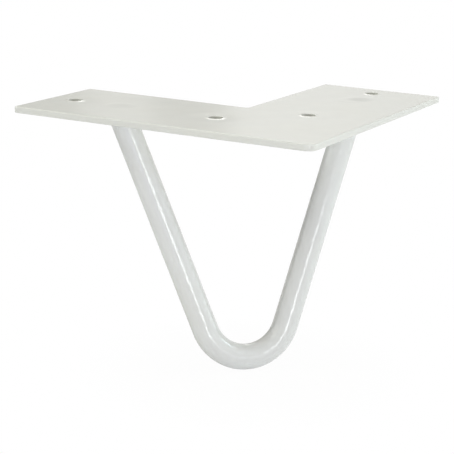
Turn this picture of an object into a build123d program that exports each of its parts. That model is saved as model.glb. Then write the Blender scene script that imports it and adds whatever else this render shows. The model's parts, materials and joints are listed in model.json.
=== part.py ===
"""Short hairpin furniture leg: an L-shaped screw-on plate with one bent round rod welded under its two arms.

Millimetres. The origin is where the centrelines of the two arms cross, on the mounting face.
The arms run along +X and +Y, +Z points up into the furniture, and the leg is the same on both
sides of the plate's diagonal.
"""

import os
from math import asin, atan2, cos, hypot, radians, sin, sqrt, tan

from build123d import *

# Mounting plate
plate_side = 120.0  # outer corner of the L to the tip of either arm
arm_width = 50.0
plate_thickness = 2.5
outer_corner_radius = 4.0  # where the arms meet, on the outside
inner_corner_radius = 1.0
tip_corner_radius = 0.6
plate_edge_round = 0.4  # soft edge that the coating leaves round the outline

# Screw holes, two on the centreline of each arm
hole_diameter = 5.5
hole_tip_margin = 10.0  # tip of the arm to the outer hole
hole_spacing = 60.0
hole_deburr = 0.3  # broken edge at both ends of each hole

# Bent rod
leg_height = 100.0  # mounting face to the bottom of the bend
rod_diameter = 10.0
rod_tip_margin = 30.0  # tip of the arm to the rod's centre under the plate
bend_radius = 17.0  # on the rod's centreline
lean_angle = 12.0  # plane of the bent rod from upright, out towards the plate's outer corner

# Fillet weld round each end of the rod
weld_leg = 3.0  # up the rod and along the plate

# Places that follow from those sizes
rod_radius = rod_diameter / 2
inner_edge = arm_width / 2
outer_edge = -inner_edge
arm_tip = outer_edge + plate_side
outer_hole = arm_tip - hole_tip_margin
inner_hole = outer_hole - hole_spacing
rod_end = arm_tip - rod_tip_margin
plate_underside = Plane.XY.offset(-plate_thickness)

os.makedirs("parts", exist_ok=True)

# Mounting plate: two overlapping strips, with rounded corners and rims
with BuildPart() as mounting_plate:
    with BuildSketch(plate_underside):
        with Locations((outer_edge, outer_edge)):
            Rectangle(plate_side, arm_width, align=Align.MIN)
            Rectangle(arm_width, plate_side, align=Align.MIN)
    extrude(amount=plate_thickness)
    corner_radii = {(outer_edge, outer_edge): outer_corner_radius, (inner_edge, inner_edge): inner_corner_radius}
    for side in (outer_edge, inner_edge):
        corner_radii[arm_tip, side] = corner_radii[side, arm_tip] = tip_corner_radius
    for corner, radius in corner_radii.items():
        fillet(mounting_plate.edges().filter_by(Axis.Z).sort_by_distance(corner)[0], radius)
    fillet(mounting_plate.faces().filter_by(Axis.Z).edges(), plate_edge_round)
    with Locations((inner_hole, 0), (outer_hole, 0), (0, inner_hole), (0, outer_hole)):
        Hole(hole_diameter / 2)
    chamfer(mounting_plate.edges(Select.LAST).filter_by(GeomType.CIRCLE), hole_deburr)

# The rod's centreline is a V with a rounded point, drawn in a plane that leans out under the corner
across = Vector(1, -1, 0)
outward = Vector(-1, -1, 0).rotate(Axis((0, 0, 0), across), -lean_angle)
rod_plane = Plane((rod_end / 2, rod_end / 2, -plate_thickness), x_dir=across, z_dir=outward)
half_spread = rod_end / sqrt(2)
drop_to_bend = (leg_height - plate_thickness - rod_radius) / cos(radians(lean_angle))
drop_to_bend_centre = drop_to_bend - bend_radius
half_angle = atan2(half_spread, drop_to_bend_centre)
half_angle -= asin(bend_radius / hypot(half_spread, drop_to_bend_centre))
drop_to_point = half_spread / tan(half_angle)

# Each end is left long, then cut flush with the underside of the plate
spare_length = rod_diameter
spare_out = spare_length * sin(half_angle)
spare_up = spare_length * cos(half_angle)

with BuildPart() as hairpin_rod:
    with BuildLine(rod_plane) as centreline:
        FilletPolyline(
            (-half_spread - spare_out, spare_up),
            (0, -drop_to_point),
            (half_spread + spare_out, spare_up),
            radius=bend_radius,
        )
    with BuildSketch(Plane(centreline.line @ 0, z_dir=centreline.line % 0)):
        Circle(rod_radius)
    sweep()
    split(bisect_by=plate_underside, keep=Keep.BOTTOM)

# Fillet weld under each arm: what a bevel along the corner between rod and plate adds to the two of them
weld_beads = []
for arm, arm_axis in (("x_arm", Axis.X), ("y_arm", Axis.Y)):
    with BuildPart() as weld_bead:
        add(mounting_plate.part)
        add(hairpin_rod.part)
        weld_root = weld_bead.edges().filter_by(GeomType.ELLIPSE).sort_by(arm_axis)[-1]
        chamfer(weld_root, weld_leg)
        add(mounting_plate.part, mode=Mode.SUBTRACT)
        add(hairpin_rod.part, mode=Mode.SUBTRACT)
    weld_bead.part.label = f"weld_bead_{arm}"
    weld_beads.append(weld_bead.part)

mounting_plate.part.label = "mounting_plate"
hairpin_rod.part.label = "hairpin_rod"
for piece in [mounting_plate.part, hairpin_rod.part, *weld_beads]:
    export_step(piece, f"parts/{piece.label}.step")
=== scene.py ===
"""Looks of the short hairpin leg: a gloss white powder coat over a plate, a bent rod and two welds.

Metres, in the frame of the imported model: the arms of the plate run along +X and +Y from the origin,
its mounting face is at z = 0, and the bend of the rod stands on the floor below.
"""

import json
from math import asin, atan2, cos, hypot, pi, radians, sin, sqrt, tan

import bpy
from mathutils import Matrix, Vector
from mathutils.geometry import delaunay_2d_cdt


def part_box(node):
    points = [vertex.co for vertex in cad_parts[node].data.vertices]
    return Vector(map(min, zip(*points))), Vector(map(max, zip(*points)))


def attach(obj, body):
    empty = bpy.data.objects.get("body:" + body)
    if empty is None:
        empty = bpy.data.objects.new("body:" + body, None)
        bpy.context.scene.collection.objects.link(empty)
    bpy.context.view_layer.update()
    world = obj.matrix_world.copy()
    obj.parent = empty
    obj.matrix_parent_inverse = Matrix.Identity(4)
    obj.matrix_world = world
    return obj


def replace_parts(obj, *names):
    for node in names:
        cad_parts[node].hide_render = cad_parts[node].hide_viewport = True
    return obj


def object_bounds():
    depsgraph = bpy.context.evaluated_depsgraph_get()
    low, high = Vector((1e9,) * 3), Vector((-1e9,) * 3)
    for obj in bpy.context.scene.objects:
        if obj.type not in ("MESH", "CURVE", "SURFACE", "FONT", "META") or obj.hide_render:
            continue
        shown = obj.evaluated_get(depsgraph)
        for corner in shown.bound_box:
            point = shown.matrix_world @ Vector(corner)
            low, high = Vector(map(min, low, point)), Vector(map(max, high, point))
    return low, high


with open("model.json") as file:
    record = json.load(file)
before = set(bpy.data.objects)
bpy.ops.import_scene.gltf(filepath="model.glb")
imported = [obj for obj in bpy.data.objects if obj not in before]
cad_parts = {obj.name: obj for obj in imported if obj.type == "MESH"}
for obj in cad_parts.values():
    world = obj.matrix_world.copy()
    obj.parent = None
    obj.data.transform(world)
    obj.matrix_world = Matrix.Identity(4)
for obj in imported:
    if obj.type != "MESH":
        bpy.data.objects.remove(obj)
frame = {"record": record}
cad_low, cad_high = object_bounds()
record = frame["record"]
mounts = {mount["name"]: mount for mount in record["mounts"]}
scene = bpy.context.scene
scene.view_settings.view_transform = "Standard"

MM = 0.001

# Plate
plate_low, plate_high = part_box("mounting_plate")
plate_top = plate_high.z
plate_underside = plate_low.z
outer_edge = plate_low.x
arm_tip = plate_high.x
inner_edge = -outer_edge
outer_corner_radius = 4.0 * MM
inner_corner_radius = 1.0 * MM
tip_corner_radius = 0.6 * MM
rim_radius = 0.5 * MM  # the coat rounds the edges of the outline

# Screw holes, at the same two distances along each arm
hole_pattern = mounts["screws_x_arm"]
hole_radius = hole_pattern["dims"]["hole_r_mm"] * MM
hole_half_spacing = hole_pattern["dims"]["spacing_x_mm"] * MM / 2
hole_distances = [hole_pattern["pos_m"][0] + side * hole_half_spacing for side in (-1, 1)]
hole_centres = [Vector((d, 0)) for d in hole_distances] + [Vector((0, d)) for d in hole_distances]
coat_in_hole = 0.15 * MM
hole_rim_radius = 0.35 * MM
hole_lip = 0.18 * MM  # punching leaves a low lip round each hole, in a shallow dip
lip_width = 1.0 * MM
hole_reach = hole_radius + hole_rim_radius + lip_width
dip_reach = 9.5 * MM

# Bent rod
rod_radius = 5.0 * MM
bend_radius = 17.0 * MM  # on the centreline
lean = radians(12.0)  # plane of the rod from upright, out towards the corner of the plate
rod_tip_margin = 30.0 * MM  # tip of the arm to the middle of the rod
rod_end = arm_tip - rod_tip_margin
rod_tops = {"x_arm": Vector((rod_end, 0, plate_underside)), "y_arm": Vector((0, rod_end, plate_underside))}
rod_foot = Vector(mounts["floor_contact"]["pos_m"])

# Welds, and the shallow dents that their heat leaves in the top of the plate, greyed with painted shade
weld_leg = 3.0 * MM
weld_centres = [top.to_2d() for top in rod_tops.values()]
mark_depth = 0.04 * MM
mark_inner = 4.6 * MM
mark_outer = 6.4 * MM
# Painted shade over each weld's dent: how grey it is, and how far off the weld's centre it sits
mark_shade_greys = [0.42, 0.13]  # the painted shade shows most on the x arm
mark_shade_shifts = [Vector((3.0, -2.0)) * MM, Vector((-0.5, -0.5)) * MM]

# Spacing of the points on the plate
flat_step = 2.5 * MM
edge_step = 0.4 * MM  # from each edge of the flat to the first row of points on it
grid_margin = 0.8 * flat_step
corner_steps = 8
rim_steps = 6
lip_steps = 6
hole_sides = 64
mark_reach = 1.4 * mark_outer
mark_rings = 16
mark_sides = 48

# Finish: one white coat, a touch warmer on the plate and cooler on the rod
coat_white = next(m["base_color"] for m in record["materials"] if m["slot"] == "white_powder_coat")
plate_white = (0.80, 0.802, 0.775)
rod_white = (0.80, 0.808, 0.812)
thin_white = (0.42, 0.42, 0.38)  # where the coat lies thin over the steel; it is also the colour of the painted shade over the weld marks and, in part, inside the holes
rim_thinness = 0.1  # of the coat on the edges of the outline, from 0 to 1
wall_thinness_and_shade = 0.65  # and inside the holes, where the grey is partly thin coat and partly painted shade in the hole

# Camera of the photograph
photo_px = 454
camera_focal_px = 1436.0
camera_eye = Vector((-0.4461, -0.2152, 0.0924))
camera_azimuth = -62.3  # degrees: 0 looks along +Y and 90 along -X
camera_elevation = 14.69
camera_roll = 1.73  # anticlockwise
behind = camera_azimuth + 180
object_middle = (cad_low + cad_high) / 2


# Node trees

def new_tree(kind, name, inputs, outputs):
    """A node group with named sockets: the tree, its input node's outputs and its output node's inputs."""
    tree = bpy.data.node_groups.new(name, kind)
    for label, socket_type in inputs.items():
        tree.interface.new_socket(label, in_out="INPUT", socket_type="NodeSocket" + socket_type)
    for label, socket_type in outputs.items():
        tree.interface.new_socket(label, in_out="OUTPUT", socket_type="NodeSocket" + socket_type)
    return tree, tree.nodes.new("NodeGroupInput").outputs, tree.nodes.new("NodeGroupOutput").inputs


def add(tree, kind, inputs=None, **settings):
    """Add a node with these settings. An input, by name or number, is a value or a socket to link."""
    node = tree.nodes.new(kind)
    for name, value in settings.items():
        setattr(node, name, value)
    for key, value in (inputs or {}).items():
        if isinstance(value, bpy.types.NodeSocket):
            tree.links.new(value, node.inputs[key])
        else:
            node.inputs[key].default_value = value
    return node


def maths(tree, operation, *terms, clamp=False):
    node = add(tree, "ShaderNodeMath", dict(enumerate(terms)), operation=operation, use_clamp=clamp)
    return node.outputs[0]


def vectors(tree, operation, *terms):
    return add(tree, "ShaderNodeVectorMath", dict(enumerate(terms)), operation=operation).outputs["Vector"]


def measured(tree, operation, *terms):
    """A number taken from vectors, such as a length."""
    return add(tree, "ShaderNodeVectorMath", dict(enumerate(terms)), operation=operation).outputs["Value"]


def scaled(tree, vector, factor):
    node = add(tree, "ShaderNodeVectorMath", {"Vector": vector, "Scale": factor}, operation="SCALE")
    return node.outputs["Vector"]


def height_of(tree, vector):
    return add(tree, "ShaderNodeSeparateXYZ", {"Vector": vector}).outputs["Z"]


def noise(tree, place, size, detail=1.0):
    """Smooth noise about 0.5, with features of about this size."""
    scale = maths(tree, "DIVIDE", 1.0, size)
    return add(tree, "ShaderNodeTexNoise", {"Vector": place, "Scale": scale, "Detail": detail}).outputs["Fac"]


def mix_colours(tree, share, first, second):
    """Colours mixed by a share: the Mix node's colour sockets come sixth and seventh."""
    node = add(tree, "ShaderNodeMix", {0: share, 6: first, 7: second}, data_type="RGBA")
    return node.outputs[2]


def capture(tree, geometry, **fields):
    """Keep fields on the points of a curve: the geometry and a dict of the kept fields."""
    node = add(tree, "GeometryNodeCaptureAttribute", {"Geometry": geometry})
    for name, field in fields.items():
        kind = {"VALUE": "FLOAT", "VECTOR": "VECTOR"}[field.type]
        node.capture_items.new(kind, name)
        tree.links.new(field, node.inputs[name])
    return node.outputs["Geometry"], {name: node.outputs[name] for name in fields}


def finish_tree(tree, geometry, coat, output):
    """End a tree as the export needs it: real geometry with its finish on."""
    real = add(tree, "GeometryNodeRealizeInstances", {"Geometry": geometry}).outputs["Geometry"]
    done = add(tree, "GeometryNodeSetMaterial", {"Geometry": real, "Material": coat}).outputs["Geometry"]
    tree.links.new(done, output)


def new_piece(name, mesh):
    piece = bpy.data.objects.new(name, mesh)
    scene.collection.objects.link(piece)
    return piece


def grow(name, tree, sizes):
    """Run a tree with these sizes and keep the result as a piece with a plain mesh."""
    piece = new_piece(name, bpy.data.meshes.new(name))
    modifier = piece.modifiers.new(name, "NODES")
    modifier.node_group = tree
    for item in tree.interface.items_tree:
        if item.in_out == "INPUT":
            modifier[item.identifier] = sizes[item.name]
    grown = piece.evaluated_get(bpy.context.evaluated_depsgraph_get())
    piece.data = bpy.data.meshes.new_from_object(grown)
    piece.data.name = name
    piece.modifiers.clear()
    return piece


# Finish of the powder coat

def make_orange_peel():
    """Height of the fine pebbling and the longer swell of a baked powder coat, in metres."""
    inputs = {
        "Place": "Vector", "Peel Size": "Float", "Peel Depth": "Float",
        "Swell Size": "Float", "Swell Depth": "Float",
    }
    tree, given, out = new_tree("ShaderNodeTree", "orange_peel", inputs, {"Height": "Float"})
    peel = maths(tree, "MULTIPLY", noise(tree, given["Place"], given["Peel Size"], 2.0), given["Peel Depth"])
    swell = maths(tree, "MULTIPLY", noise(tree, given["Place"], given["Swell Size"]), given["Swell Depth"])
    tree.links.new(maths(tree, "ADD", peel, swell), out["Height"])
    return tree


def make_nibs():
    """Height of the few specks that settle in a coat before it is baked, in metres."""
    inputs = {"Place": "Vector", "Spacing": "Float", "Nib Size": "Float", "Nib Height": "Float"}
    tree, given, out = new_tree("ShaderNodeTree", "coat_nibs", inputs, {"Height": "Float"})
    scale = maths(tree, "DIVIDE", 1.0, given["Spacing"])
    cells = add(tree, "ShaderNodeTexVoronoi", {"Vector": given["Place"], "Scale": scale})
    distance = maths(tree, "MULTIPLY", cells.outputs["Distance"], given["Spacing"])
    cone = maths(tree, "SUBTRACT", 1.0, maths(tree, "DIVIDE", distance, given["Nib Size"]), clamp=True)
    blunt = maths(tree, "SMOOTH_MIN", cone, 1.0, 0.5)
    tree.links.new(maths(tree, "MULTIPLY", blunt, given["Nib Height"]), out["Height"])
    return tree


def make_coat_tone():
    """Colour of the coat: faint warm clouds, and a greyer tone where it is thin and where painted shade is
    laid on.
    """
    inputs = {
        "Place": "Vector", "White": "Color", "Warm White": "Color", "Cloud Size": "Float",
        "Thin": "Float", "Thin White": "Color",
    }
    tree, given, out = new_tree("ShaderNodeTree", "coat_tone", inputs, {"Colour": "Color"})
    cloud = noise(tree, given["Place"], given["Cloud Size"], 2.0)
    clouded = mix_colours(tree, cloud, given["White"], given["Warm White"])
    tree.links.new(mix_colours(tree, given["Thin"], clouded, given["Thin White"]), out["Colour"])
    return tree


def make_coat_gloss():
    """Roughness of the coat, a little uneven in patches."""
    inputs = {"Place": "Vector", "Roughness": "Float", "Spread": "Float", "Patch Size": "Float"}
    tree, given, out = new_tree("ShaderNodeTree", "coat_gloss", inputs, {"Roughness": "Float"})
    patch = maths(tree, "SUBTRACT", noise(tree, given["Place"], given["Patch Size"], 2.0), 0.5)
    uneven = maths(tree, "MULTIPLY_ADD", patch, given["Spread"], given["Roughness"])
    tree.links.new(uneven, out["Roughness"])
    return tree


orange_peel = make_orange_peel()
coat_nibs = make_nibs()
coat_tone = make_coat_tone()
coat_gloss = make_coat_gloss()


def warmer(white):
    red, green, blue = white
    return red * 1.01, green, blue * 0.96


def make_coat(name, white, roughness, peel, swell, thin_and_shade_attribute=None):
    """White powder coat with the gloss of one kind of piece. Peel and swell are each a size and a depth."""
    material = bpy.data.materials.new(name)
    material.use_nodes = True
    tree = material.node_tree
    shader = tree.nodes["Principled BSDF"]
    place = add(tree, "ShaderNodeTexCoord").outputs["Object"]
    # Greyer where the coat is thin, and where painted shade is laid on through the mesh attribute
    thin = 0.0
    if thin_and_shade_attribute:
        thin = add(tree, "ShaderNodeAttribute", attribute_name=thin_and_shade_attribute).outputs["Fac"]

    def use(group, **values):
        sockets = {key.replace("_", " ").title(): value for key, value in values.items()}
        return add(tree, "ShaderNodeGroup", {"Place": place, **sockets}, node_tree=group).outputs[0]

    colour = use(
        coat_tone, white=(*white, 1.0), warm_white=(*warmer(white), 1.0), cloud_size=30 * MM,
        thin=thin, thin_white=(*thin_white, 1.0),
    )
    rough = use(coat_gloss, roughness=roughness, spread=0.08, patch_size=9 * MM)
    pebbles = use(
        orange_peel, peel_size=peel[0], peel_depth=peel[1], swell_size=swell[0], swell_depth=swell[1],
    )
    nibs = use(coat_nibs, spacing=14 * MM, nib_size=0.5 * MM, nib_height=0.03 * MM)
    height = maths(tree, "ADD", pebbles, nibs)
    bump = add(tree, "ShaderNodeBump", {"Height": height, "Distance": 1.0, "Strength": 1.0})
    tree.links.new(colour, shader.inputs["Base Color"])
    tree.links.new(rough, shader.inputs["Roughness"])
    tree.links.new(bump.outputs["Normal"], shader.inputs["Normal"])
    shader.inputs["IOR"].default_value = 1.5
    return material


plate_coat = make_coat(
    "plate_coat", plate_white, roughness=0.20, peel=(2.4 * MM, 0.004 * MM), swell=(9 * MM, 0.01 * MM),
    thin_and_shade_attribute="thin_coat_and_shade",
)
rod_coat = make_coat(
    "rod_coat", rod_white, roughness=0.19, peel=(1.8 * MM, 0.012 * MM), swell=(3.2 * MM, 0.20 * MM),
)
weld_coat = make_coat(
    "weld_coat", coat_white, roughness=0.30, peel=(1.2 * MM, 0.010 * MM), swell=(4 * MM, 0.02 * MM),
    thin_and_shade_attribute="thin_coat_and_shade",
)


# Plate

def ease(share):
    """Smooth step from 0 to 1."""
    share = min(max(share, 0.0), 1.0)
    return share * share * (3 - 2 * share)


def direction(degrees):
    return Vector((cos(radians(degrees)), sin(radians(degrees))))


def plate_loop():
    """Points round the outline with their outward directions, anticlockwise, with the corners rounded."""
    corners = [
        (outer_edge, outer_edge, 180, 270, outer_corner_radius),
        (arm_tip, outer_edge, 270, 360, tip_corner_radius),
        (arm_tip, inner_edge, 0, 90, tip_corner_radius),
        (inner_edge, inner_edge, 90, 0, inner_corner_radius),
        (inner_edge, arm_tip, 0, 90, tip_corner_radius),
        (outer_edge, arm_tip, 90, 180, tip_corner_radius),
    ]
    arcs = []
    for x, y, first, last, radius in corners:
        reach = radius if last > first else -radius  # an inside corner turns the other way
        centre = Vector((x, y)) - reach * (direction(first) + direction(last))
        outs = [direction(first + (last - first) * step / corner_steps) for step in range(corner_steps + 1)]
        arcs.append([(centre + reach * out, out) for out in outs])
    loop = []
    for arc, next_arc in zip(arcs, arcs[1:] + arcs[:1]):
        loop += arc
        start, out = arc[-1]
        run = next_arc[0][0] - start
        steps = round(run.length / flat_step)
        loop += [(start + run * step / steps, out) for step in range(1, steps)]
    return loop


def hole_loop(centre):
    """Points round a hole, clockwise, with the directions that lead out of the metal."""
    spokes = [direction(-360 * side / hole_sides) for side in range(hole_sides)]
    return [(centre + (hole_radius - coat_in_hole) * spoke, -spoke) for spoke in spokes]


def rim_profile(radius):
    """Inset and height of each ring from the flat top, over the rounded rims, to the flat underside."""
    angles = [pi / 2 * step / rim_steps for step in range(rim_steps + 1)]
    quarter = [(radius * (1 - sin(angle)), radius * (1 - cos(angle))) for angle in angles]
    top = [(inset, plate_top - drop) for inset, drop in quarter]
    bottom = [(inset, plate_underside + drop) for inset, drop in reversed(quarter)]
    return top + bottom


def lip_profile():
    """The same for a hole, with the slope from the dip up to the lip before it."""
    slope = []
    for step in range(lip_steps):
        left = 1 - step / lip_steps
        slope.append((hole_rim_radius + lip_width * left, plate_top - hole_lip * ease(left)))
    flat_inset = slope[0][0]
    return slope + rim_profile(hole_rim_radius) + [(flat_inset, plate_underside)]


def top_drop(point):
    """How far the top of the plate sinks above the welded ends of the rod and round the holes."""
    from_weld = min((point - centre).length for centre in weld_centres)
    from_hole = min((point - centre).length for centre in hole_centres)
    mark = mark_depth * ease((mark_outer - from_weld) / (mark_outer - mark_inner))
    dip = hole_lip * ease((dip_reach - from_hole) / (dip_reach - hole_reach))
    return mark + dip


def weld_mark_painted_shade(point):
    """How much painted shade greys the coat above the welds, a little off their centres, where their dents
    slope.
    """
    tint = 0.0
    for centre, shift, grey in zip(weld_centres, mark_shade_shifts, mark_shade_greys):
        tint += grey * ease((mark_outer - (point - centre - shift).length) / mark_inner)
    return tint


def inset_loop(loop, inset):
    return [point - inset * out for point, out in loop]


def flat_points(edges):
    """Points on the flat of the plate: beside its edges, round each weld mark, and on a grid elsewhere."""
    points = []
    for loop, profile, thinness in edges:
        points += inset_loop(loop, profile[0][0] + edge_step)
    turns = [direction(360 * side / mark_sides) for side in range(mark_sides)]
    for centre in weld_centres:
        points.append(centre)
        for ring in range(1, mark_rings + 1):
            points += [centre + turn * mark_reach * ring / mark_rings for turn in turns]
    steps = int((arm_tip - outer_edge) / flat_step)
    for row in range(1, steps):
        for column in range(1, steps):
            point = Vector((outer_edge + column * flat_step, outer_edge + row * flat_step))
            in_arm = min(point) < inner_edge - grid_margin and max(point) < arm_tip - grid_margin
            clear_of_edge = min(point) > outer_edge + grid_margin
            clear_of_holes = all((point - c).length > hole_reach + grid_margin for c in hole_centres)
            clear_of_marks = all((point - c).length > mark_reach + grid_margin / 2 for c in weld_centres)
            if in_arm and clear_of_edge and clear_of_holes and clear_of_marks:
                points.append(point)
    return points


def flat_triangles(borders, inner):
    """Triangles over the flat of the plate, by the numbers of the border points and then the inner points."""
    lines, border_of = [], []
    for number, border in enumerate(borders):
        first, count = len(border_of), len(border)
        lines += [(first + i, first + (i + 1) % count) for i in range(count)]
        border_of += [number] * count
    border_of += [None] * len(inner)
    points = [point / MM for point in sum(borders, []) + inner]
    inside_only = 1
    found = delaunay_2d_cdt(points, lines, [], inside_only, 1e-6)
    sources = [source[0] for source in found[3]]
    triangles = []
    for corners in found[2]:
        triangle = [sources[corner] for corner in corners]
        touched = {border_of[i] for i in triangle}
        in_hole = len(touched) == 1 and not touched & {None, 0}  # the first border is the outline
        if not in_hole:
            triangles.append(triangle)
    return triangles


def ring_faces(upper, lower):
    """Four-sided faces between one ring of points and the next."""
    return list(zip(upper, lower, [*lower[1:], lower[0]], [*upper[1:], upper[0]]))


def make_plate():
    """The coated plate as one closed shell, with rounded rims and a rounded edge to every hole."""
    edges = [(plate_loop(), rim_profile(rim_radius), rim_thinness)]
    edges += [(hole_loop(centre), lip_profile(), wall_thinness_and_shade) for centre in hole_centres]
    vertices, faces, thin = [], [], []
    top_of, bottom_of = [], []
    for loop, profile, thinness in edges:
        rings = []
        for inset, height in profile:
            rings.append(range(len(vertices), len(vertices) + len(loop)))
            vertices += [(*point, height) for point in inset_loop(loop, inset)]
            # The walls of the holes are greyed: partly thin coat, partly painted shade in the holes
            thin += [thinness * max(1 - inset / rim_radius, 0.0) ** 4] * len(loop)
        for upper, lower in zip(rings, rings[1:]):
            faces += ring_faces(upper, lower)
        top_of += rings[0]
        bottom_of += rings[-1]

    inner = flat_points(edges)
    top_of += range(len(vertices), len(vertices) + len(inner))
    vertices += [(*point, plate_top - top_drop(point)) for point in inner]
    # Painted shade over the weld marks, kept in the same attribute as the thin coat
    thin += [weld_mark_painted_shade(point) for point in inner]
    bottom_of += range(len(vertices), len(vertices) + len(inner))
    vertices += [(*point, plate_underside) for point in inner]
    thin += [0.0] * len(inner)
    borders = [inset_loop(loop, profile[0][0]) for loop, profile, thinness in edges]
    for triangle in flat_triangles(borders, inner):
        faces.append([top_of[i] for i in triangle])
        faces.append([bottom_of[i] for i in reversed(triangle)])

    mesh = bpy.data.meshes.new("mounting_plate_coated")
    mesh.from_pydata(vertices, [], faces)
    mesh.attributes.new("thin_coat_and_shade", "FLOAT", "POINT").data.foreach_set("value", thin)
    mesh.shade_smooth()
    mesh.materials.append(plate_coat)
    return new_piece("mounting_plate_coated", mesh)


# Bent rod

def rod_point():
    """Where the straight legs of the V would meet, below the bend."""
    half_spread = rod_end / sqrt(2)
    drop_to_centre = (plate_underside - rod_foot.z - rod_radius) / cos(lean) - bend_radius
    half_angle = atan2(half_spread, drop_to_centre) - asin(bend_radius / hypot(half_spread, drop_to_centre))
    down = Vector((-sin(lean) / sqrt(2), -sin(lean) / sqrt(2), -cos(lean)))
    return Vector((rod_end / 2, rod_end / 2, plate_underside)) + down * half_spread / tan(half_angle)


def make_rod_tree():
    """A round bar along a V with a rounded point, its ends cut level where they meet the plate."""
    inputs = {
        "X End": "Vector", "Point": "Vector", "Y End": "Vector", "Rod Radius": "Float",
        "Bend Radius": "Float", "Bend Steps": "Int", "Ring Spacing": "Float", "Sides": "Int",
        "Cut Length": "Float", "Unevenness": "Float", "Wave Length": "Float", "Coat": "Material",
    }
    tree, given, out = new_tree("GeometryNodeTree", "bent_rod", inputs, {"Rod": "Geometry"})
    line = add(tree, "GeometryNodeCurvePrimitiveLine", {"Start": given["X End"], "End": given["Y End"]})
    three = add(tree, "GeometryNodeResampleCurve", {"Curve": line.outputs["Curve"], "Count": 3})
    index = add(tree, "GeometryNodeInputIndex").outputs["Index"]
    middle = add(tree, "FunctionNodeCompare", {2: index, 3: 1}, data_type="INT", operation="EQUAL")
    vee = add(tree, "GeometryNodeSetPosition", {
        "Geometry": three.outputs["Curve"], "Selection": middle.outputs["Result"], "Position": given["Point"],
    })
    bent = add(tree, "GeometryNodeFilletCurve", {
        "Curve": vee.outputs["Geometry"], "Count": given["Bend Steps"], "Radius": given["Bend Radius"],
    }, mode="POLY")
    even = add(tree, "GeometryNodeResampleCurve", {
        "Curve": bent.outputs["Curve"], "Length": given["Ring Spacing"],
    }, mode="LENGTH")

    along = add(tree, "GeometryNodeSplineParameter").outputs["Length"]
    total = add(tree, "GeometryNodeSplineLength").outputs["Length"]
    from_end = maths(tree, "MINIMUM", along, maths(tree, "SUBTRACT", total, along))
    position = add(tree, "GeometryNodeInputPosition").outputs["Position"]
    tangent = add(tree, "GeometryNodeInputTangent").outputs["Tangent"]
    centreline, kept = capture(
        tree, even.outputs["Curve"], from_end=from_end, centre=position, tangent=tangent,
    )
    circle = add(tree, "GeometryNodeCurvePrimitiveCircle", {
        "Resolution": given["Sides"], "Radius": given["Rod Radius"],
    })
    bar = add(tree, "GeometryNodeCurveToMesh", {
        "Curve": centreline, "Profile Curve": circle.outputs["Curve"], "Fill Caps": True,
    })

    # Slide the points near each end along the bar until the last ring lies level against the plate
    spoke = vectors(tree, "SUBTRACT", position, kept["centre"])
    rise = maths(tree, "DIVIDE", height_of(tree, spoke), height_of(tree, kept["tangent"]))
    end_share = maths(tree, "DIVIDE", kept["from_end"], given["Cut Length"])
    nearness = maths(tree, "SUBTRACT", 1.0, end_share, clamp=True)
    back = maths(tree, "MULTIPLY", maths(tree, "MULTIPLY", rise, nearness), -1.0)
    slide = scaled(tree, kept["tangent"], back)
    cut = add(tree, "GeometryNodeSetPosition", {"Geometry": bar.outputs["Mesh"], "Offset": slide})

    # The coat is a little uneven, always inside the size of the bar
    normal = add(tree, "GeometryNodeInputNormal").outputs["Normal"]
    wave = noise(tree, position, given["Wave Length"])
    free = maths(tree, "SUBTRACT", 1.0, nearness)
    inward = maths(tree, "MULTIPLY", given["Unevenness"], -1.0)
    depth = maths(tree, "MULTIPLY", maths(tree, "MULTIPLY", wave, free), inward)
    coated = add(tree, "GeometryNodeSetPosition", {
        "Geometry": cut.outputs["Geometry"], "Offset": scaled(tree, normal, depth),
    })

    # The side of the bar is smooth, and its cut ends are flat
    below_end = maths(tree, "SUBTRACT", height_of(tree, given["X End"]), height_of(tree, position))
    side = add(tree, "FunctionNodeCompare", {0: below_end, 1: 0.05 * MM}, operation="GREATER_THAN")
    smooth = add(tree, "GeometryNodeSetShadeSmooth", {
        "Geometry": coated.outputs["Geometry"], "Shade Smooth": side.outputs["Result"],
    })
    finish_tree(tree, smooth.outputs["Geometry"], given["Coat"], out["Rod"])
    return tree


def make_rod():
    return grow("hairpin_rod_coated", make_rod_tree(), {
        "X End": rod_tops["x_arm"],
        "Point": rod_point(),
        "Y End": rod_tops["y_arm"],
        "Rod Radius": rod_radius,
        "Bend Radius": bend_radius,
        "Bend Steps": 90,
        "Ring Spacing": 1.0 * MM,
        "Sides": 96,
        "Cut Length": 12.0 * MM,
        "Unevenness": 0.10 * MM,
        "Wave Length": 7.0 * MM,
        "Coat": rod_coat,
    })


# Welds

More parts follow.
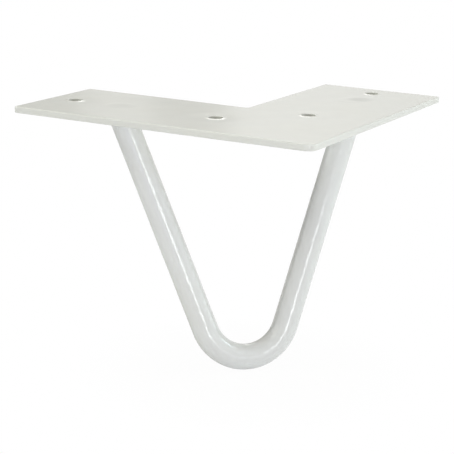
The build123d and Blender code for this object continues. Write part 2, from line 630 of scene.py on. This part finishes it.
def make_weld_tree():
    """A fillet weld laid round the slanting end of a rod, with the ripples of its beads."""
    inputs = {
        "Centre": "Vector", "Rod Down": "Vector", "Rod Radius": "Float", "Leg": "Float", "Fullness": "Float",
        "Ripples": "Float", "Ripple Depth": "Float", "Ripple Drift": "Float", "Bow": "Float",
        "Crest Width": "Float", "Crest Thinness": "Float", "Unevenness": "Float",
        "Steps Round": "Int", "Steps Across": "Int", "Coat": "Material",
    }
    tree, given, out = new_tree("GeometryNodeTree", "fillet_weld", inputs, {"Weld": "Geometry"})
    position = add(tree, "GeometryNodeInputPosition").outputs["Position"]

    # Section: a full face from the toe on the plate to the toe on the rod, then back to the root
    index = add(tree, "GeometryNodeInputIndex").outputs["Index"]
    count = maths(tree, "ADD", given["Steps Across"], 1.0)
    line = add(tree, "GeometryNodeMeshLine", {"Count": count})
    share = maths(tree, "DIVIDE", index, maths(tree, "SUBTRACT", given["Steps Across"], 1.0))
    rest = maths(tree, "SUBTRACT", 1.0, share)
    twice_full = maths(tree, "MULTIPLY", given["Fullness"], 2.0)
    swell = maths(tree, "MULTIPLY", maths(tree, "MULTIPLY", share, rest), twice_full)
    face_out = maths(tree, "MULTIPLY_ADD", rest, rest, swell)
    face_down = maths(tree, "MULTIPLY_ADD", share, share, swell)
    on_face = maths(tree, "LESS_THAN", index, given["Steps Across"])
    section_point = add(tree, "ShaderNodeCombineXYZ", {
        "X": maths(tree, "MULTIPLY", face_out, on_face), "Y": maths(tree, "MULTIPLY", face_down, on_face),
    })
    section_mesh = add(tree, "GeometryNodeSetPosition", {
        "Geometry": line.outputs["Mesh"], "Position": section_point.outputs["Vector"],
    })
    section_curve = add(tree, "GeometryNodeMeshToCurve", {"Mesh": section_mesh.outputs["Geometry"]})
    closed = add(tree, "GeometryNodeSetSplineCyclic", {
        "Geometry": section_curve.outputs["Curve"], "Cyclic": True,
    })
    section, kept_section = capture(tree, closed.outputs["Geometry"], section=position)

    # Path: once round the rod
    circle = add(tree, "GeometryNodeCurvePrimitiveCircle", {
        "Resolution": given["Steps Round"], "Radius": 1.0,
    })
    factor = add(tree, "GeometryNodeSplineParameter").outputs["Factor"]
    path, kept_path = capture(tree, circle.outputs["Curve"], turn=maths(tree, "MULTIPLY", factor, 2 * pi))
    swept = add(tree, "GeometryNodeCurveToMesh", {"Curve": path, "Profile Curve": section})
    ring = add(tree, "GeometryNodeFlipFaces", {"Mesh": swept.outputs["Mesh"]})  # faces outward once laid

    # Root of the weld: the line where the rod meets the plate
    turn = kept_path["turn"]
    level = vectors(tree, "NORMALIZE", vectors(tree, "CROSS_PRODUCT", given["Rod Down"], Vector((0, 0, 1))))
    slope = vectors(tree, "CROSS_PRODUCT", given["Rod Down"], level)
    part_level = scaled(tree, level, maths(tree, "COSINE", turn))
    part_slope = scaled(tree, slope, maths(tree, "SINE", turn))
    spoke = scaled(tree, vectors(tree, "ADD", part_level, part_slope), given["Rod Radius"])
    rise = maths(tree, "DIVIDE", height_of(tree, spoke), height_of(tree, given["Rod Down"]))
    slide = scaled(tree, given["Rod Down"], maths(tree, "MULTIPLY", rise, -1.0))
    root = vectors(tree, "ADD", given["Centre"], vectors(tree, "ADD", spoke, slide))
    outward = vectors(tree, "NORMALIZE", vectors(tree, "MULTIPLY", spoke, Vector((1, 1, 0))))

    # Face of the weld: its size wanders a little, and bowed ripples cross it
    parts = add(tree, "ShaderNodeSeparateXYZ", {"Vector": kept_section["section"]})
    share_out, share_down = parts.outputs["X"], parts.outputs["Y"]
    wander = maths(tree, "SUBTRACT", noise(tree, root, given["Leg"]), 0.5)
    leg = maths(tree, "MULTIPLY", given["Leg"], maths(tree, "MULTIPLY_ADD", wander, given["Unevenness"], 1.0))
    middle = maths(tree, "MULTIPLY", maths(tree, "MULTIPLY", share_out, share_down), 4.0, clamp=True)
    phase = maths(tree, "MULTIPLY_ADD", turn, given["Ripples"], maths(tree, "MULTIPLY", middle, given["Bow"]))
    phase = maths(tree, "MULTIPLY_ADD", wander, given["Ripple Drift"], phase)
    crest = maths(tree, "MULTIPLY_ADD", maths(tree, "SINE", phase), 0.5, 0.5)
    crest = maths(tree, "MULTIPLY", maths(tree, "POWER", crest, given["Crest Width"]), middle)
    lift = maths(tree, "MULTIPLY", crest, given["Ripple Depth"])
    across_plate = scaled(tree, outward, maths(tree, "MULTIPLY_ADD", leg, share_out, lift))
    down_rod = scaled(tree, given["Rod Down"], maths(tree, "MULTIPLY_ADD", leg, share_down, lift))
    surface = vectors(tree, "ADD", root, vectors(tree, "ADD", across_plate, down_rod))
    laid = add(tree, "GeometryNodeSetPosition", {"Geometry": ring.outputs["Mesh"], "Position": surface})
    marked = add(tree, "GeometryNodeStoreNamedAttribute", {
        "Geometry": laid.outputs["Geometry"], "Name": "thin_coat_and_shade",
        "Value": maths(tree, "MULTIPLY", crest, given["Crest Thinness"]),
    })
    smooth = add(tree, "GeometryNodeSetShadeSmooth", {
        "Geometry": marked.outputs["Geometry"], "Shade Smooth": True,
    })
    finish_tree(tree, smooth.outputs["Geometry"], given["Coat"], out["Weld"])
    return tree


def make_welds():
    """The two welds, by the names of the CAD nodes that they stand for."""
    tree = make_weld_tree()
    welds = {}
    for arm, top in rod_tops.items():
        welds[f"weld_bead_{arm}"] = grow(f"weld_bead_{arm}_coated", tree, {
            "Centre": top,
            "Rod Down": (rod_point() - top).normalized(),
            "Rod Radius": rod_radius,
            "Leg": weld_leg,
            "Fullness": 0.52,
            "Ripples": 24.0,
            "Ripple Depth": 0.18 * MM,
            "Ripple Drift": 5.0,
            "Bow": 2.4,
            "Crest Width": 0.6,
            "Crest Thinness": 0.15,
            "Unevenness": 0.25,
            "Steps Round": 288,
            "Steps Across": 14,
            "Coat": weld_coat,
        })
    return welds


# Stage

def away(azimuth, elevation):
    """Unit vector from the object towards a camera or lamp at these angles, in degrees."""
    a, e = radians(azimuth), radians(elevation)
    return Vector((sin(a) * cos(e), -cos(a) * cos(e), sin(e)))


def make_camera():
    data = bpy.data.cameras.new("camera")
    data.sensor_width = 36.0
    data.lens = data.sensor_width * camera_focal_px / photo_px
    data.clip_start = 0.01
    camera = bpy.data.objects.new("camera", data)
    scene.collection.objects.link(camera)
    aim = (-away(camera_azimuth, camera_elevation)).to_track_quat("-Z", "Y").to_matrix().to_4x4()
    roll = Matrix.Rotation(radians(camera_roll), 4, "Z")
    camera.matrix_world = Matrix.Translation(camera_eye) @ aim @ roll
    scene.camera = camera


def seen_directly(tree):
    """1 for rays from the camera and those sent on by a gloss or a clear surface, then 1 for a gloss alone."""
    path = add(tree, "ShaderNodeLightPath").outputs
    seen = maths(tree, "MAXIMUM", path["Is Camera Ray"], path["Is Glossy Ray"])
    return maths(tree, "MAXIMUM", seen, path["Is Transmission Ray"]), path["Is Glossy Ray"]


def make_world(ambient, colour):
    """White where it is seen, and a dimmer light of this colour on the object."""
    world = bpy.data.worlds.new("studio")
    world.use_nodes = True
    scene.world = world
    tree = world.node_tree
    background = tree.nodes["Background"]
    seen, mirrored = seen_directly(tree)
    tree.links.new(mix_colours(tree, seen, (*colour, 1.0), (1.0, 1.0, 1.0, 1.0)), background.inputs["Color"])
    strength = maths(tree, "MULTIPLY_ADD", seen, 1.0 - ambient, ambient)
    tree.links.new(strength, background.inputs["Strength"])


def stage_material(name):
    """A material with no shader yet: its node tree and the socket for its surface."""
    material = bpy.data.materials.new(name)
    material.use_nodes = True
    tree = material.node_tree
    tree.nodes.remove(tree.nodes["Principled BSDF"])
    return material, tree, tree.nodes["Material Output"].inputs["Surface"]


def make_floor(side, shade, shade_reach, dimness, dim_reach, dim_edge):
    """White floor under the foot. It glows white in the picture, but keeps some of its shade near the foot.

    What the gloss of the coat mirrors of it is painted dim on the left of the foot, as a painted shadow of the
    leg.
    """
    material, tree, surface = stage_material("floor_white")
    paper = add(tree, "ShaderNodeBsdfDiffuse", {"Color": (0.9, 0.9, 0.9, 1.0)})
    light = add(tree, "ShaderNodeEmission", {"Color": (1.0, 1.0, 1.0, 1.0), "Strength": 1.0})
    place = add(tree, "ShaderNodeTexCoord").outputs["Object"]
    from_foot = vectors(tree, "SUBTRACT", place, Vector((rod_foot.x, rod_foot.y, 0)))
    distance = measured(tree, "LENGTH", from_foot)
    spread = maths(tree, "POWER", maths(tree, "DIVIDE", distance, shade_reach), 2.0)
    shaded = maths(tree, "MULTIPLY", maths(tree, "SUBTRACT", 1.0, spread, clamp=True), shade)
    leftward = measured(tree, "DOT_PRODUCT", from_foot, away(camera_azimuth - 90, 0))
    left = maths(tree, "ADD", maths(tree, "DIVIDE", leftward, dim_edge), 0.5, clamp=True)
    wide = maths(tree, "SUBTRACT", 1.1, maths(tree, "DIVIDE", distance, dim_reach), clamp=True)
    seen, mirrored = seen_directly(tree)
    # Painted shadow of the leg on the floor's left, seen only in the gloss of the coat
    dim_share = maths(tree, "MULTIPLY", mirrored, dimness)
    dim = maths(tree, "MULTIPLY", maths(tree, "MULTIPLY", left, wide), dim_share)
    glow = maths(tree, "MULTIPLY", seen, maths(tree, "SUBTRACT", 1.0, maths(tree, "MAXIMUM", shaded, dim)))
    both = add(tree, "ShaderNodeMixShader", {0: glow, 1: paper.outputs["BSDF"], 2: light.outputs["Emission"]})
    below = add(tree, "ShaderNodeNewGeometry").outputs["Backfacing"]
    clear = add(tree, "ShaderNodeBsdfTransparent")
    one_sided = add(tree, "ShaderNodeMixShader", {
        0: below, 1: both.outputs["Shader"], 2: clear.outputs["BSDF"],
    })
    tree.links.new(one_sided.outputs["Shader"], surface)
    floor = new_piece("floor", sheet_mesh("floor", (side, side), material))
    floor.location.z = rod_foot.z


def sheet_mesh(name, size, material):
    width, height = size
    mesh = bpy.data.meshes.new(name)
    corners = [(x * width / 2, y * height / 2, 0.0) for x, y in ((-1, -1), (1, -1), (1, 1), (-1, 1))]
    mesh.from_pydata(corners, [], [(0, 1, 2, 3)])
    mesh.materials.append(material)
    return mesh


def face_object(thing, azimuth, elevation, distance):
    """Put a lamp or card at these angles round the object, turned to face it."""
    thing.location = object_middle + away(azimuth, elevation) * distance
    thing.rotation_mode = "QUATERNION"
    thing.rotation_quaternion = away(azimuth, elevation).to_track_quat("Z", "Y")


def make_lamp(name, azimuth, elevation, distance, size, brightness, colour):
    """A flat lamp. Its brightness is what a mirror would show of it, where 1 is white."""
    width, height = size
    data = bpy.data.lights.new(name, "AREA")
    data.shape = "RECTANGLE"
    data.size = width
    data.size_y = height
    data.energy = brightness * pi * width * height
    data.color = colour
    lamp = bpy.data.objects.new(name, data)
    scene.collection.objects.link(lamp)
    face_object(lamp, azimuth, elevation, distance)


def make_card(name, azimuth, elevation, distance, size, tone):
    """A plain card that the gloss of the coat mirrors, of this brightness. The camera doesn't see it."""
    material, tree, surface = stage_material(name)
    paper = add(tree, "ShaderNodeEmission", {"Color": (1.0, 1.0, 1.0, 1.0), "Strength": tone})
    tree.links.new(paper.outputs["Emission"], surface)
    card = new_piece(name, sheet_mesh(name, size, material))
    card.visible_camera = False
    face_object(card, azimuth, elevation, distance)


make_camera()
make_world(ambient=0.26, colour=(1.0, 0.85, 0.71))
make_floor(side=12.0, shade=0.033, shade_reach=0.066, dimness=0.8, dim_reach=0.36, dim_edge=0.04)

# Cards behind the leg, which the top of the plate mirrors, and one at its left for the shady side of the rod
make_card("narrow_card", behind + 2.6, elevation=13, distance=1.25, size=(0.085, 0.36), tone=0.60)
make_card("pale_card", behind + 6.5, elevation=13, distance=1.30, size=(0.29, 0.36), tone=0.82)
make_card("grey_card", behind + 15, elevation=13, distance=1.20, size=(0.25, 0.36), tone=0.6)
make_card("left_card", behind + 60, elevation=14, distance=0.8, size=(1.5, 0.45), tone=0.12)

# The small bright strip draws the line of light down both legs
make_lamp(
    "strip", camera_azimuth + 22, elevation=5.4, distance=0.7,
    size=(0.17, 0.23), brightness=10.0, colour=(0.94, 0.98, 1.0),
)

# Soft light from the front, the right and the left
make_lamp(
    "front", camera_azimuth - 15, elevation=3, distance=1.0,
    size=(0.7, 0.4), brightness=1.25, colour=(0.51, 0.61, 1.0),
)
make_lamp(
    "right", camera_azimuth + 73, elevation=22, distance=0.9,
    size=(0.70, 0.4), brightness=0.7, colour=(0.77, 0.91, 1.0),
)
make_lamp(
    "left", camera_azimuth - 90, elevation=22, distance=0.9,
    size=(0.55, 0.5), brightness=2.6, colour=(0.93, 1.0, 0.97),
)

# The tall lamp makes the streak inside the bend, and the low one lights the far side of the plate
make_lamp(
    "tall", camera_azimuth + 101, elevation=33, distance=0.9,
    size=(0.06, 0.26), brightness=24.0, colour=(0.80, 0.95, 1.0),
)
make_lamp(
    "low", camera_azimuth + 105, elevation=2, distance=0.9,
    size=(0.5, 0.18), brightness=5.0, colour=(0.88, 0.98, 1.0),
)

# Light on the top of the plate, and from behind on its front edge and on the lips of the holes
make_lamp(
    "high", camera_azimuth - 60, elevation=45, distance=0.9,
    size=(0.55, 0.5), brightness=1.64, colour=(0.94, 1.0, 0.89),
)
make_lamp(
    "back", behind, elevation=30, distance=1.1,
    size=(0.30, 0.24), brightness=3.2, colour=(1.0, 1.0, 1.0),
)
make_lamp(
    "top", camera_azimuth, elevation=85, distance=1.0,
    size=(1.0, 1.0), brightness=0.8, colour=(0.93, 1.0, 0.98),
)

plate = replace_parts(make_plate(), "mounting_plate")
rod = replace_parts(make_rod(), "hairpin_rod")
pieces = [plate, rod]
for node, weld in make_welds().items():
    pieces.append(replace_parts(weld, node))
for piece in pieces:
    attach(piece, "root")
